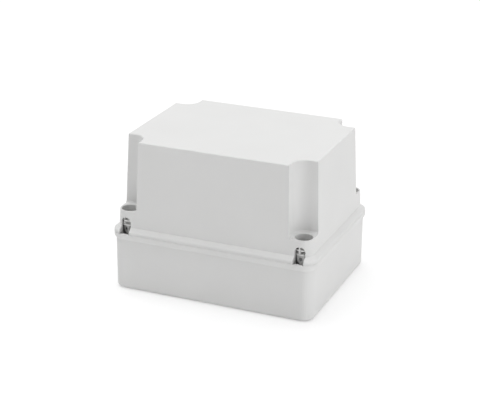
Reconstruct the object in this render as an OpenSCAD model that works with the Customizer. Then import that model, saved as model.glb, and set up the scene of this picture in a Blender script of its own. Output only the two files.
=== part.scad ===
// Hinged polycarbonate enclosure with four corner hinge screws.
// Millimetres. Origin at the middle of the underside, Z up, long side along X, front at -Y.

/* [Overall size] */
// length over the rim
box_length = 199.2; // [184:0.2:240]
// width over the rim
box_width = 154.6; // [144:0.2:190]
// height from the underside to the lid top
box_height = 144.2; // [125:0.2:175]
// height of the base rim, where lid and base meet
seam_height = 55.8; // [52:0.2:70]

/* [Walls] */
// wall of base and lid
wall = 2.5; // [2:0.1:3]
// floor of the base
floor_thick = 3; // [2.5:0.1:5]
// roof of the lid
roof_thick = 2.8; // [2.4:0.1:5]
// inward lean of the lid wall, per mm of height
lid_draft = 0.0415; // [0.02:0.0005:0.05]
// radius of the rim's upright corners
rim_corner = 12.4; // [11:0.2:14]
// rounding of the bottom edge
bottom_edge = 3.6; // [2:0.2:5]
// rounding of the lid's top edge
top_edge = 1.2; // [0.8:0.1:2]

/* [Rim] */
// how far the base wall sits in from the rim
base_step = 1.9; // [1.2:0.1:2.2]
// how far the lid wall sits in from the rim
lid_step = 4.4; // [4:0.1:4.8]
// height of the rim band
rim_band = 2.8; // [2:0.1:5]
// height of the rounding under the band
rim_bevel = 3.4; // [2:0.1:4]
// height of the lid's flared skirt
skirt_height = 6; // [5:0.1:7]
// open gap between skirt and rim
seam_gap = 0.3; // [0.2:0.05:0.5]
// width of the gasket groove
groove_width = 2.2; // [1.8:0.1:2.4]
// depth of the gasket groove
groove_depth = 2; // [1.6:0.1:2.4]

/* [Corner recesses and tubes] */
// screw centre, in from the rim
screw_inset = 14.6; // [14.2:0.1:17.2]
// radius of the recess round each screw, at the lid top
recess_radius = 12.7; // [12:0.1:13.5]
// outward lean of the recess wall, per mm of height
recess_lean = 0.031; // [0.015:0.001:0.035]
// height of the shelf the tube opens in, above the seam
shelf_rise = 21.1; // [18:0.1:26]
// bore of the screw tube
tube_bore = 16; // [15.6:0.1:16.4]
// width of the window in front of the screw
window_width = 9.9; // [9.2:0.1:11]
// top of the window's round head, above the seam
window_rise = 14.9; // [13:0.1:17]
// how far the arched sill under the window drops at its ends
sill_drop = 0.9; // [0.5:0.1:1.5]

/* [Hinge screws] */
// knuckle pin above the seam
knuckle_rise = 1.2; // [1:0.1:1.6]
// diameter of the knuckle pin
pin_diameter = 3.2; // [2.8:0.1:3.6]
// thickness of the eye between the cheeks
eye_thick = 4; // [3.4:0.1:4.2]
// diameter of the stud's straight part
stud_diameter = 8; // [7.4:0.1:8.2]
// depth of the stud's tip below the seam
stud_reach = 27.5; // [23:0.1:32]
// thickness of the fins on the head
fin_thick = 1.6; // [1.2:0.1:2.4]
// turn of the front left screw
left_turn = 58; // [0:2:90]
// turn of the front right screw
right_turn = 80; // [0:2:90]

/* [Base fittings] */
// wall fixing holes, in from the ends of the rim
fixing_inset = 19.6; // [16:0.1:30]
// wall fixing holes, along the width from the screw centres
fixing_gap = 22.7; // [19:0.1:40]
// diameter of the wall fixing holes
fixing_diameter = 5.2; // [4.2:0.1:6]
// plate posts, along the length from the screw centres
post_gap = 25; // [20:0.5:40]
// plate posts, in from the long sides of the rim
post_inset = 19.3; // [12:0.5:30]
// height of the plate posts
post_height = 7; // [5:0.5:12]
// pilot hole in the plate posts
post_pilot = 3; // [2.4:0.1:3.6]
// width of the notches in the bottom edge
notch_width = 8.5; // [6:0.1:12]
// height of the notches in the bottom edge
notch_height = 1.2; // [0.8:0.1:2]

/* [Hidden] */
$fn = 64;
eps = 0.01;
half_x = box_length / 2;
half_y = box_width / 2;
tube_x = half_x - screw_inset;
tube_y = half_y - screw_inset;
tube_radius = tube_bore / 2;
shelf_height = seam_height + shelf_rise;
window_top = seam_height + window_rise;
fixing_x = half_x - fixing_inset;
fixing_y = tube_y - fixing_gap;
post_x = tube_x - post_gap;
post_y = half_y - post_inset;
lid_foot = seam_height + seam_gap;
skirt_top = seam_height + skirt_height;
base_radius = rim_corner - base_step;
rim_swell = 0.9;
lid_radius = 10;
skirt_inset = 0.1;
seam_round = 0.3;
foot_round = 0.2;
skirt_upright = 1.6;
// flare of the skirt, parts of its run and of its rise
skirt_curve = [[0, 0], [0.015, 0.08], [0.055, 0.19], [0.12, 0.29], [0.22, 0.39], [0.9, 0.94], [1, 1]];
corner_steps = 8;
// the seal line runs round the inside of the screws; all inner outlines are offsets of it
seal_x = half_x - lid_step - 0.2;
seal_y = half_y - lid_step - 0.2;
seal_bend = recess_radius + 0.5;
inner_bend = 2.4;
lid_inside = -2.3;
rim_inside = -2;
base_inside = base_step + wall < lid_step + 0.2 ? lid_step + 0.2 - base_step - wall : 0;
rim_shelf = seam_height - 8;
knuckle_z = seam_height + knuckle_rise;
knuckle_radius = 4;
cheek_outer = 4.9;
cheek_gap = 0.2;
pin_fit = 0.05;
shoulder_z = knuckle_z - knuckle_radius - 0.3;
straight_end = seam_height - 6;
socket_radius = 8;
socket_floor = seam_height - 5.8;
bore_play = 0.35;
stud_taper = 0.12;
disc_thick = 1.5;
disc_radius = tube_radius - 0.6;
fin_reach = tube_radius - 0.7;
disc_first = knuckle_z + knuckle_radius + 0.5;
disc_pitch = 4.2;
shelf_radius = recess_radius - recess_lean * (box_height - shelf_height);
bore_edge = 0.4;
foot_rise = [0.5, 1.5];
foot_out = [1, 0.9];
edge_cut = 0.7;
outer_wall = 1.9;
sill_bend = (pow(window_width / 2, 2) + pow(sill_drop, 2)) / (2 * sill_drop);
cap_fit = 0.08;
cap_z = disc_first + 2 * disc_pitch;
cap_thick = 1.6;
slot_width = 1.8;
slot_depth = 1.1;
post_radius = 4;
stud_tip = stud_diameter / 2 - stud_taper * (stud_reach - 6);
shell_color = [0.8, 0.81, 0.81];
screw_color = [0.72, 0.73, 0.73];
steel_color = [0.6, 0.61, 0.63];
gasket_color = [0.32, 0.33, 0.34];

// one level of a rounded box, corners in order round the outline
function level(inset, radius, z) = [
    for (q = [0:3])
        for (i = [0:corner_steps])
            let (a = 90 * q + 90 * i / corner_steps,
                 sx = q == 0 || q == 3 ? 1 : -1,
                 sy = q < 2 ? 1 : -1)
            [sx * (half_x - inset - radius) + radius * cos(a),
             sy * (half_y - inset - radius) + radius * sin(a), z]];

module skin(levels) {
    n = len(levels[0]);
    top = (len(levels) - 1) * n;
    polyhedron(
        points = [for (ring = levels) for (p = ring) p],
        faces = concat(
            [[for (i = [0:n - 1]) i]],
            [[for (i = [n - 1:-1:0]) top + i]],
            [for (k = [0:len(levels) - 2]) for (i = [0:n - 1])
                [k * n + i, (k + 1) * n + i, (k + 1) * n + (i + 1) % n]],
            [for (k = [0:len(levels) - 2]) for (i = [0:n - 1])
                [k * n + i, (k + 1) * n + (i + 1) % n, k * n + (i + 1) % n]]),
        convexity = 4);
}

module at_corners() {
    for (sx = [-1, 1])
        for (sy = [-1, 1])
            scale([sx, sy, 1])
                translate([tube_x, tube_y, 0])
                    children();
}

// the corner taken out of an outline, arc about the screw and straight out to the walls
module corner_cut(radius) {
    circle(radius);
    translate([0, -radius])
        square([screw_inset + 2, screw_inset + 2 + radius]);
    translate([-radius, 0])
        square([screw_inset + 2 + radius, screw_inset + 2]);
}

// the notched outline, out from the seal line by grow
module notched(grow) {
    difference() {
        square([2 * (seal_x + grow), 2 * (seal_y + grow)], center = true);
        at_corners()
            corner_cut(seal_bend - grow);
    }
}

function edge_round(z, inset, radius, step, count) =
    [z + radius * (1 - cos(90 * step / count)), inset + radius * (1 - sin(90 * step / count))];

module base_skin() {
    low = [for (i = [0:4]) edge_round(0, base_step, bottom_edge, i, 4)];
    band = seam_height - rim_band;
    high = [for (i = [0:3])
        [seam_height - seam_round * (1 - sin(90 * i / 3)), seam_round * (1 - cos(90 * i / 3))]];
    skin(concat(
        [for (p = low) level(p[1], rim_corner - p[1], p[0])],
        [level(base_step, base_radius, band - rim_bevel)],
        [for (i = [3:-1:0])
            let (a = 80 * i / 3, inset = base_step * (1 - cos(a)) / (1 - cos(80)))
            level(inset * rim_swell, rim_corner - inset * rim_swell,
                  band - rim_bevel * 0.9 * sin(a) / sin(80))],
        [for (p = high) level(p[1], rim_corner - p[1], p[0])]));
}

module lid_skin() {
    rise = skirt_height - skirt_upright;
    run = lid_step - skirt_inset;
    shrink = rim_corner - lid_radius;
    lean = box_height - top_edge - skirt_top;
    end_inset = lid_step + lid_draft * lean;
    skin(concat(
        [level(skirt_inset + foot_round, rim_corner - skirt_inset - foot_round, lid_foot),
         level(skirt_inset, rim_corner - skirt_inset, lid_foot + foot_round)],
        [for (p = skirt_curve)
            let (inset = skirt_inset + run * p[0])
            level(inset, rim_corner - shrink * inset / lid_step,
                  seam_height + skirt_upright + rise * p[1])],
        [for (i = [0:3])
            let (a = 90 * i / 3)
            level(end_inset + top_edge * (1 - cos(a)), lid_radius - top_edge * (1 - cos(a)),
                  box_height - top_edge * (1 - sin(a)))]));
}

module base_shell() {
    color(shell_color)
    difference() {
        union() {
            difference() {
                base_skin();
                translate([0, 0, floor_thick])
                    linear_extrude(rim_shelf - floor_thick)
                        notched(base_inside);
                translate([0, 0, rim_shelf - eps])
                    linear_extrude(seam_height - rim_shelf + 1)
                        notched(rim_inside);
            }
            for (sx = [-1, 1])
                for (sy = [-1, 1])
                    translate([sx * post_x, sy * post_y, floor_thick - 1])
                        cylinder(r = post_radius, h = post_height + 1);
        }
        // screw sockets, with a tapered hole for the stud
        at_corners() {
            translate([0, 0, socket_floor])
                cylinder(r = socket_radius, h = seam_height - socket_floor + 1);
            translate([0, 0, seam_height - stud_reach - 1])
                cylinder(r1 = stud_tip + bore_play - stud_taper, r2 = stud_diameter / 2 + bore_play,
                         h = socket_floor - seam_height + stud_reach + 1 + eps);
            translate([-window_width / 2, 0, socket_floor])
                cube([window_width, screw_inset - outer_wall, seam_height - socket_floor + 1]);
            difference() {
                translate([-window_width / 2, 0, seam_height - 2 * sill_drop])
                    cube([window_width, screw_inset + 1, 2 * sill_drop + 1]);
                translate([0, -1, seam_height - sill_bend])
                    rotate([-90, 0, 0])
                        cylinder(r = sill_bend, h = screw_inset + 3);
            }
        }
        // wall fixing holes
        for (sx = [-1, 1])
            for (sy = [-1, 1])
                translate([sx * fixing_x, sy * fixing_y, -1])
                    cylinder(r = fixing_diameter / 2, h = floor_thick + 2);
        // pilot holes in the posts
        for (sx = [-1, 1])
            for (sy = [-1, 1])
                translate([sx * post_x, sy * post_y, floor_thick])
                    cylinder(r = post_pilot / 2, h = post_height + 1);
        // notches in the bottom edge, one a side
        for (s = [-1, 1]) {
            translate([-notch_width / 2, s * (half_y - base_step - 1) - 2, -1])
                cube([notch_width, 4, notch_height + 1]);
            translate([s * (half_x - base_step - 1) - 2, -notch_width / 2, -1])
                cube([4, notch_width, notch_height + 1]);
        }
    }
}

module lid_shell() {
    roof = box_height - roof_thick;
    color(shell_color)
    difference() {
        lid_skin();
        lid_cavity(roof);
        // recesses above the shelves and the tubes under them
        at_corners() {
            recess();
            translate([0, 0, lid_foot - 1])
                cylinder(r = tube_radius, h = shelf_height - lid_foot + 2);
            translate([0, 0, shelf_height - bore_edge])
                cylinder(r1 = tube_radius, r2 = tube_radius + 2 * bore_edge, h = 2 * bore_edge);
            translate([-window_width / 2, 0, lid_foot - 1])
                cube([window_width, screw_inset + 2, window_top - window_width / 2 - lid_foot + 1]);
            translate([0, 0, window_top - window_width / 2])
                rotate([-90, 0, 0])
                    cylinder(r = window_width / 2, h = screw_inset + 2);
        }
        // gasket groove
        translate([0, 0, lid_foot - 1])
            linear_extrude(groove_depth + 1)
                difference() {
                    notched(groove_width / 2);
                    notched(-groove_width / 2);
                }
    }
}

// upright part of a corner recess: a cone about the screw and two walls that lean out with it
module leaning_cut(radius, rise) {
    reach = screw_inset + 4;
    angle = atan(recess_lean);
    intersection() {
        union() {
            cylinder(r1 = radius, r2 = radius + recess_lean * rise, h = rise);
            translate([-radius, 0, 0])
                rotate([0, -angle, 0])
                    translate([0, 0, -2])
                        cube([radius + reach, reach, rise + 4]);
            translate([0, -radius, 0])
                rotate([angle, 0, 0])
                    translate([0, 0, -2])
                        cube([reach, radius + reach, rise + 4]);
        }
        translate([-2 * recess_radius, -2 * recess_radius, 0])
            cube([4 * recess_radius + reach, 4 * recess_radius + reach, rise]);
    }
}

// short sloping stretch of a corner recess
module sloping_cut(radius, out, rise) {
    linear_extrude(rise, scale = (radius + out) / radius)
        corner_cut(radius);
}

// recess above a shelf, hollowed at its foot and eased at the lid top
module recess() {
    foot_radius = shelf_radius - foot_out[0] - foot_out[1];
    wall_z = shelf_height + foot_rise[0] + foot_rise[1];
    translate([0, 0, shelf_height])
        sloping_cut(foot_radius, foot_out[0], foot_rise[0] + eps);
    translate([0, 0, shelf_height + foot_rise[0]])
        sloping_cut(foot_radius + foot_out[0], foot_out[1], foot_rise[1] + eps);
    translate([0, 0, wall_z])
        leaning_cut(shelf_radius + recess_lean * (wall_z - shelf_height), box_height - wall_z + 1);
    translate([0, 0, box_height - edge_cut])
        sloping_cut(recess_radius, edge_cut + 1, edge_cut + 1);
}

// hollow of the lid, leaning in with the wall and clear of the recesses
module lid_cavity(roof) {
    lean = lid_draft * (roof - skirt_top);
    difference() {
        polyhedron(
            points = [for (p = [[0, lid_foot - 1], [0, skirt_top], [lean, roof]])
                for (s = [[1, 1], [-1, 1], [-1, -1], [1, -1]])
                    [s[0] * (seal_x + lid_inside - p[0]), s[1] * (seal_y + lid_inside - p[0]), p[1]]],
            faces = [[0, 1, 2, 3], [11, 10, 9, 8],
                     [0, 4, 5, 1], [1, 5, 6, 2], [2, 6, 7, 3], [3, 7, 4, 0],
                     [4, 8, 9, 5], [5, 9, 10, 6], [6, 10, 11, 7], [7, 11, 8, 4]]);
        translate([0, 0, lid_foot - 2])
            linear_extrude(roof - lid_foot + 4)
                at_corners()
                    corner_cut(seal_bend - lid_inside);
    }
}

module rim_gasket() {
    play = 0.05;
    color(gasket_color)
    translate([0, 0, seam_height + 0.1])
        linear_extrude(groove_depth + seam_gap - 0.1 - play)
            difference() {
                notched(groove_width / 2 - play);
                notched(play - groove_width / 2);
            }
}

// head: two cheeks for the knuckle, finned and ribbed body, slotted cap
module head() {
    color(screw_color)
    difference() {
        union() {
            for (s = [-1, 1]) {
                translate([s * (cheek_outer + eye_thick / 2 + cheek_gap) / 2, 0, knuckle_z])
                    rotate([0, 90, 0])
                        cylinder(r = knuckle_radius, h = cheek_outer - eye_thick / 2 - cheek_gap,
                                 center = true);
                translate([s > 0 ? eye_thick / 2 + cheek_gap : -cheek_outer, -knuckle_radius, knuckle_z])
                    cube([cheek_outer - eye_thick / 2 - cheek_gap, 2 * knuckle_radius,
                          disc_first - knuckle_z + eps]);
            }
            for (k = [0:1])
                translate([0, 0, disc_first + k * disc_pitch])
                    cylinder(r = disc_radius, h = disc_thick);
            for (a = [0, 90])
                rotate([0, 0, a])
                    translate([-fin_reach, -fin_thick / 2, disc_first + eps])
                        cube([2 * fin_reach, fin_thick, cap_z - disc_first]);
            translate([0, 0, disc_first])
                cylinder(r = 2.4, h = cap_z - disc_first + eps);
            translate([0, 0, cap_z])
                cylinder(r = tube_radius - cap_fit, h = cap_thick);
        }
        translate([0, 0, knuckle_z])
            rotate([0, 90, 0])
                cylinder(r = pin_diameter / 2 + pin_fit, h = 4 * cheek_outer, center = true);
        translate([-disc_radius + 1, -slot_width / 2, cap_z + cap_thick - slot_depth])
            cube([2 * disc_radius - 2, slot_width, slot_depth + 1]);
    }
}

// stud: eye for the pin, shoulder and tapered shank
module stud() {
    color(screw_color)
    difference() {
        union() {
            translate([0, 0, knuckle_z])
                rotate([0, 90, 0])
                    cylinder(r = knuckle_radius - 0.2, h = eye_thick, center = true);
            translate([-eye_thick / 2, -2.6, shoulder_z - eps])
                cube([eye_thick, 5.2, knuckle_z - shoulder_z]);
            translate([0, 0, straight_end])
                cylinder(r = stud_diameter / 2, h = shoulder_z - straight_end);
            translate([0, 0, seam_height - stud_reach])
                cylinder(r1 = stud_tip, r2 = stud_diameter / 2,
                         h = stud_reach + straight_end - seam_height + eps);
        }
        translate([0, 0, knuckle_z])
            rotate([0, 90, 0])
                cylinder(r = pin_diameter / 2 + pin_fit, h = 4 * cheek_outer, center = true);
    }
}

module pin() {
    color(steel_color)
    translate([0, 0, knuckle_z])
        rotate([0, 90, 0])
            cylinder(r = pin_diameter / 2, h = 2 * cheek_outer - 0.4, center = true);
}

module screw_head_fl() { translate([-tube_x, -tube_y, 0]) rotate([0, 0, left_turn]) head(); }
module screw_head_fr() { translate([tube_x, -tube_y, 0]) rotate([0, 0, right_turn]) head(); }
module screw_head_rl() { translate([-tube_x, tube_y, 0]) head(); }
module screw_head_rr() { translate([tube_x, tube_y, 0]) head(); }
module screw_stud_fl() { translate([-tube_x, -tube_y, 0]) rotate([0, 0, left_turn]) stud(); }
module screw_stud_fr() { translate([tube_x, -tube_y, 0]) rotate([0, 0, right_turn]) stud(); }
module screw_stud_rl() { translate([-tube_x, tube_y, 0]) stud(); }
module screw_stud_rr() { translate([tube_x, tube_y, 0]) stud(); }
module knuckle_pin_fl() { translate([-tube_x, -tube_y, 0]) rotate([0, 0, left_turn]) pin(); }
module knuckle_pin_fr() { translate([tube_x, -tube_y, 0]) rotate([0, 0, right_turn]) pin(); }
module knuckle_pin_rl() { translate([-tube_x, tube_y, 0]) pin(); }
module knuckle_pin_rr() { translate([tube_x, tube_y, 0]) pin(); }

base_shell();
lid_shell();
rim_gasket();
screw_head_fl();
screw_head_fr();
screw_head_rl();
screw_head_rr();
screw_stud_fl();
screw_stud_fr();
screw_stud_rl();
screw_stud_rr();
knuckle_pin_fl();
knuckle_pin_fr();
knuckle_pin_rl();
knuckle_pin_rr();
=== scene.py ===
import bpy, math
from mathutils import Matrix, Vector


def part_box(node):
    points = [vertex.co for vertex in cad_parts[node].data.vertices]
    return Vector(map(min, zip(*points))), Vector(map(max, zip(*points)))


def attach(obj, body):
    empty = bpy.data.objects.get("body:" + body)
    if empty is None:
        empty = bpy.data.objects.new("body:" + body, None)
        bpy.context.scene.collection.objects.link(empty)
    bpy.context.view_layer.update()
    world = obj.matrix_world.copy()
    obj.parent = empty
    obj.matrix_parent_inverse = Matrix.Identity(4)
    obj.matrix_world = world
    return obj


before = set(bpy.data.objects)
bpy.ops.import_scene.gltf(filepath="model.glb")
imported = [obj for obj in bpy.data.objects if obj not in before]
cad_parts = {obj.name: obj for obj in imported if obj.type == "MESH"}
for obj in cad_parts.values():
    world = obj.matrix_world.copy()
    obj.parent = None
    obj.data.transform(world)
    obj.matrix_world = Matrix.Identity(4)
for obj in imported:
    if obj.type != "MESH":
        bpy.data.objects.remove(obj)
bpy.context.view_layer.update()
print("frame loaded:", len(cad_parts), "nodes")

scene = bpy.context.scene
scene.view_settings.view_transform = "Standard"
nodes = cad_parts

# camera: a long lens, a little above the lid, turned to show the front and the right end
cameraSet = {
    "azimuth": 22.67,      # degrees to the right of straight on
    "elevation": 21.99,
    "roll": 0.48,
    "distance": 1.3362,
    "aimHeight": 0.0657,
    "lens": 106.79,
    "sensor": 36,
    "shift": (-0.0046, -0.0008),
}


def makeCamera(s):
    az, el, roll = (math.radians(s[k]) for k in ("azimuth", "elevation", "roll"))
    back = Vector((math.sin(az) * math.cos(el), -math.cos(az) * math.cos(el), math.sin(el)))
    right = Vector((math.cos(az), math.sin(az), 0))
    up = back.cross(right)
    tilted = right * math.cos(roll) + up * math.sin(roll)
    raised = up * math.cos(roll) - right * math.sin(roll)
    camData = bpy.data.cameras.new("camera")
    camData.sensor_width = s["sensor"]
    camData.lens = s["lens"]
    camData.shift_x, camData.shift_y = s["shift"]
    camera = bpy.data.objects.new("camera", camData)
    scene.collection.objects.link(camera)
    place = Matrix((tilted, raised, back)).transposed().to_4x4()
    place.translation = Vector((0, 0, s["aimHeight"])) + back * s["distance"]
    camera.matrix_world = place
    scene.camera = camera


makeCamera(cameraSet)
print("camera placed")


def newMaterial(name):
    mat = bpy.data.materials.new(name)
    mat.use_nodes = True
    tree = mat.node_tree
    return mat, tree, tree.nodes["Principled BSDF"]


def addNode(tree, kind, settings=None, **sockets):
    node = tree.nodes.new(kind)
    for key, value in (settings or {}).items():
        setattr(node, key, value)
    for key, value in sockets.items():
        node.inputs[key].default_value = value
    return node


def objectPlace(tree):
    return addNode(tree, "ShaderNodeTexCoord").outputs["Object"]


def noise(tree, scale, detail, rough=0.5):
    tex = addNode(tree, "ShaderNodeTexNoise", Scale=scale, Detail=detail, Roughness=rough)
    tree.links.new(objectPlace(tree), tex.inputs["Vector"])
    return tex.outputs["Fac"]


def ramp(tree, source, low, high, start=0.3, end=0.7):
    node = addNode(tree, "ShaderNodeMapRange", **{
        "From Min": start, "From Max": end, "To Min": low, "To Max": high})
    tree.links.new(source, node.inputs["Value"])
    return node.outputs["Result"]


def colorMix(tree, factor, first=None, second=None):
    mix = addNode(tree, "ShaderNodeMix", {"data_type": "RGBA"})
    for socket, color in (("A", first), ("B", second)):
        if color:
            mix.inputs[socket].default_value = (*color, 1)
    tree.links.new(factor, mix.inputs["Factor"])
    return mix


# moulded plastic and rubber: what all their skins share
mouldedSkin = {"ior": 1.58, "flowDetail": 3, "grainDetail": 2, "grainRough": 0.6}


def mouldedPlastic(name, s):
    mat, tree, shader = newMaterial(name)
    link = tree.links.new
    shader.inputs["Specular IOR Level"].default_value = s["specular"]
    shader.inputs["IOR"].default_value = mouldedSkin["ior"]
    # cloudy flow marks a few centimetres across, very faint
    flow = noise(tree, s["flowScale"], mouldedSkin["flowDetail"])
    mix = colorMix(tree, ramp(tree, flow, 0, 1), s["color"], s["colorLow"])
    link(mix.outputs["Result"], shader.inputs["Base Color"])
    # spark-eroded mould skin: fine grain in the bump and in the roughness
    grain = noise(tree, s["grainScale"], mouldedSkin["grainDetail"], mouldedSkin["grainRough"])
    link(ramp(tree, grain, *s["roughness"]), shader.inputs["Roughness"])
    bump = addNode(tree, "ShaderNodeBump", Strength=s["grainStrength"], Distance=s["grainDepth"])
    link(grain, bump.inputs["Height"])
    link(bump.outputs["Normal"], shader.inputs["Normal"])
    if "paintedShadeColor" in s:
        # painted shade: the disc that takes the driver, at the top of the screw head down in the
        # lid's bore, is coloured a darker grey than the fins under it, to stand in for the shade in
        # the bore
        place = addNode(tree, "ShaderNodeSeparateXYZ")
        link(objectPlace(tree), place.inputs["Vector"])
        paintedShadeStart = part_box("screw_head_fl")[1][2] - s["paintedShadeDepth"]
        paintedShadeMask = ramp(tree, place.outputs["Z"], 0, 1, paintedShadeStart - s["paintedShadeBlend"], paintedShadeStart)
        paintedShade = colorMix(tree, paintedShadeMask, second=s["paintedShadeColor"])
        link(mix.outputs["Result"], paintedShade.inputs["A"])
        link(paintedShade.outputs["Result"], shader.inputs["Base Color"])
    return mat


shellPlastic = {
    "color": (0.665, 0.665, 0.66),
    "colorLow": (0.65, 0.65, 0.645),
    "specular": 0.4,
    "flowScale": 22,
    "grainScale": 2600,
    "grainStrength": 0.12,
    "grainDepth": 0.00004,
    "roughness": (0.52, 0.6),
}
screwPlastic = {
    "color": (0.78, 0.78, 0.77),
    "colorLow": (0.74, 0.74, 0.73),
    # painted shade: dark grey for the top of the screw head, in place of the shade down in the bore
    "paintedShadeColor": (0.3, 0.3, 0.295),
    "paintedShadeDepth": 0.0016,
    "paintedShadeBlend": 0.0001,
    "specular": 0.5,
    "flowScale": 60,
    "grainScale": 3000,
    "grainStrength": 0.1,
    "grainDepth": 0.00003,
    "roughness": (0.3, 0.4),
}
gasketRubber = {
    "color": (0.035, 0.035, 0.037),
    "colorLow": (0.05, 0.05, 0.052),
    "specular": 0.35,
    "flowScale": 160,
    "grainScale": 1800,
    "grainStrength": 0.3,
    "grainDepth": 0.0001,
    "roughness": (0.62, 0.8),
}
pinSteel = {"color": (0.56, 0.56, 0.57), "roughness": (0.22, 0.36), "lineScale": 900, "lineDetail": 3}


def drawnSteel(name, s):
    mat, tree, shader = newMaterial(name)
    shader.inputs["Base Color"].default_value = (*s["color"], 1)
    shader.inputs["Metallic"].default_value = 1
    lines = noise(tree, s["lineScale"], s["lineDetail"])
    tree.links.new(ramp(tree, lines, *s["roughness"]), shader.inputs["Roughness"])
    return mat


def wear(node, mat):
    mesh = nodes[node].data
    mesh.materials.clear()
    mesh.materials.append(mat)


shellMat = mouldedPlastic("shellGrey", shellPlastic)
screwMat = mouldedPlastic("screwGrey", screwPlastic)
gasketMat = mouldedPlastic("gasketRubber", gasketRubber)
steelMat = drawnSteel("pinSteel", pinSteel)
for name in nodes:
    if name.endswith("_shell"):
        wear(name, shellMat)
    elif name.startswith("rim"):
        wear(name, gasketMat)
    elif name.startswith("knuckle"):
        wear(name, steelMat)
    else:
        wear(name, screwMat)
print("materials on", len(nodes), "nodes")

# moulded edges of the corner screws are slightly round
screwEdges = {
    "width": 0.0002,           # metres
    "steps": 2,
    "sharperThan": 32,         # degrees
    "cornerMerge": 0.000002,   # joins the split corners of the loaded meshes
}


def softenEdges(node, s):
    weld = node.modifiers.new("joinCorners", "WELD")
    weld.merge_threshold = s["cornerMerge"]
    bevel = node.modifiers.new("roundEdges", "BEVEL")
    bevel.width = s["width"]
    bevel.segments = s["steps"]
    bevel.limit_method = "ANGLE"
    bevel.angle_limit = math.radians(s["sharperThan"])
    bevel.use_clamp_overlap = False
    bevel.harden_normals = True
    bevel.miter_outer = "MITER_ARC"


for name, node in nodes.items():
    if name.startswith("screw_"):
        softenEdges(node, screwEdges)
print("screw edges rounded")

# bead along the rim that the closed lid bears on, left out at the four screw windows
seamBead = {
    "inset": 0.00035,      # from the rim's outline
    "width": 0.0008,
    "sunk": 0.0001,        # into the rim
    "rise": 0.00026,       # the lid's edge stands a little higher
    "slope": 0.15,         # sloped share of the width, each side
    "shoulder": 0.6,       # share of the rise where the slope starts
    "corner": 0.0124,      # radius of the rim's outline
    "window": (0.0797, 0.0903),
    "arcSteps": 14,
    "frontSteps": 4,       # each side of the middle
}


# points and outward directions of the four stretches
def beadPaths(s, halfLength, halfWidth):
    near, far = s["window"]
    radius = s["corner"] - s["inset"]
    middle = Vector((halfLength - s["corner"], halfWidth - s["corner"]))
    start = math.asin((far - middle.x) / radius)
    turns = [start + (math.pi / 2 - start) * i / s["arcSteps"] for i in range(s["arcSteps"] + 1)]
    outs = [Vector((math.sin(a), -math.cos(a))) for a in turns]
    corner = [(Vector((middle.x, -middle.y)) + out * radius, out) for out in outs]
    side = corner + [(Vector((p.x, -p.y)), Vector((out.x, -out.y))) for p, out in reversed(corner)]
    edge = halfWidth - s["inset"]
    count = s["frontSteps"]
    front = [(Vector((near * k / count, -edge)), Vector((0, -1))) for k in range(-count, count + 1)]
    for path in (side, front):
        yield path
        yield [(-p, -out) for p, out in path]


def makeBead(s):
    low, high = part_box("base_shell")
    shoulder = s["rise"] * s["shoulder"]
    profile = [(0, -s["sunk"]), (0, shoulder), (s["slope"], s["rise"]),
               (1 - s["slope"], s["rise"]), (1, shoulder), (1, -s["sunk"])]
    count = len(profile)
    verts, faces = [], []
    for path in beadPaths(s, high[0], high[1]):
        first = len(verts)
        for point, out in path:
            for across, rise in profile:
                spot = point - out * s["width"] * across
                verts.append((spot.x, spot.y, high[2] + rise))
        for i in range(len(path) - 1):
            for j in range(count):
                a, b = first + i * count + j, first + i * count + (j + 1) % count
                faces.append((a, a + count, b + count, b))
        last = first + (len(path) - 1) * count
        faces.append(tuple(first + j for j in range(count)))
        faces.append(tuple(last + j for j in reversed(range(count))))
    mesh = bpy.data.meshes.new("seamBead")
    mesh.from_pydata(verts, [], faces)
    bead = bpy.data.objects.new("seamBead", mesh)
    scene.collection.objects.link(bead)
    mesh.materials.append(shellMat)
    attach(bead, "base")


makeBead(seamBead)
print("seam bead laid")

studio = {
    "floorSize": 60.0,
    "floorDrop": 0.0002,                 # keeps the floor clear of the underside
    "floorRoughness": 0.8,
    "floorColor": (0.97, 0.97, 0.97),
    "floorBounce": (0.95, 0.95, 0.95),   # what the object gets back from the floor
    "shadowLift": 0.5,                   # share of plain white in the floor that is seen
    "world": 0.31,
    "lamps": [
        # name, direction to the lamp, strength, softness in degrees
        ("topLamp", (-0.15, 0.08, 0.98), 2.42, 60),
        ("sideLamp", (0.95, -0.11, 0.22), 1.18, 40),
        ("frontLamp", (-0.3, -0.95, 0.05), 0.34, 60),
    ],
}


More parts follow.
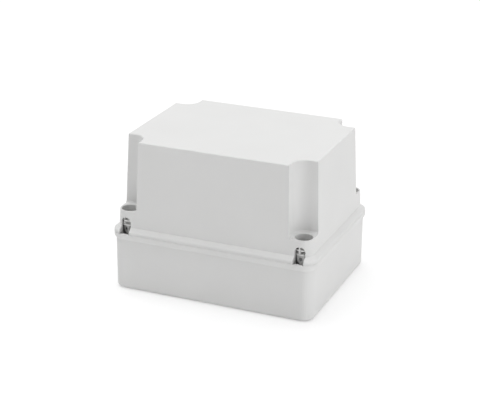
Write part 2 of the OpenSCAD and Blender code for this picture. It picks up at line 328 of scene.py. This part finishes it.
def seenDirectly(tree):
    path = tree.nodes.new("ShaderNodeLightPath")
    total = path.outputs["Is Camera Ray"]
    for ray in ("Is Glossy Ray", "Is Transmission Ray"):
        add = addNode(tree, "ShaderNodeMath", {"use_clamp": True})
        tree.links.new(total, add.inputs[0])
        tree.links.new(path.outputs[ray], add.inputs[1])
        total = add.outputs[0]
    return total


def makeFloor(s):
    size = s["floorSize"]
    corners = [(-size, -size, 0), (size, -size, 0), (size, size, 0), (-size, size, 0)]
    mesh = bpy.data.meshes.new("floor")
    mesh.from_pydata(corners, [], [(0, 1, 2, 3)])
    floor = bpy.data.objects.new("floor", mesh)
    scene.collection.objects.link(floor)
    floor.location.z = -s["floorDrop"]
    mat, tree, shader = newMaterial("floorWhite")
    link = tree.links.new
    shader.inputs["Roughness"].default_value = s["floorRoughness"]
    seen = seenDirectly(tree)
    mix = colorMix(tree, seen, s["floorBounce"], s["floorColor"])
    link(mix.outputs["Result"], shader.inputs["Base Color"])
    lift = addNode(tree, "ShaderNodeMath", {"operation": "MULTIPLY"})
    lift.inputs[1].default_value = s["shadowLift"]
    link(seen, lift.inputs[0])
    white = tree.nodes.new("ShaderNodeEmission")
    both = tree.nodes.new("ShaderNodeMixShader")
    link(lift.outputs[0], both.inputs[0])
    link(shader.outputs[0], both.inputs[1])
    link(white.outputs[0], both.inputs[2])
    link(both.outputs[0], tree.nodes["Material Output"].inputs["Surface"])
    mesh.materials.append(mat)


def makeWorld(s):
    world = bpy.data.worlds.new("studio")
    scene.world = world
    world.use_nodes = True
    tree = world.node_tree
    back = tree.nodes["Background"]
    back.inputs["Color"].default_value = (1, 1, 1, 1)
    most = addNode(tree, "ShaderNodeMath", {"operation": "MAXIMUM"})
    most.inputs[1].default_value = s["world"]
    tree.links.new(seenDirectly(tree), most.inputs[0])
    tree.links.new(most.outputs[0], back.inputs["Strength"])


def makeLamps(s):
    for name, way, strength, softness in s["lamps"]:
        data = bpy.data.lights.new(name, "SUN")
        data.energy = strength
        data.angle = math.radians(softness)
        lamp = bpy.data.objects.new(name, data)
        scene.collection.objects.link(lamp)
        lamp.rotation_euler = Vector(way).to_track_quat("Z", "Y").to_euler()
        lamp.visible_glossy = name == "topLamp"   # the low lamps leave no glare on the flat tops


makeFloor(studio)
makeWorld(studio)
makeLamps(studio)
print("studio lit")
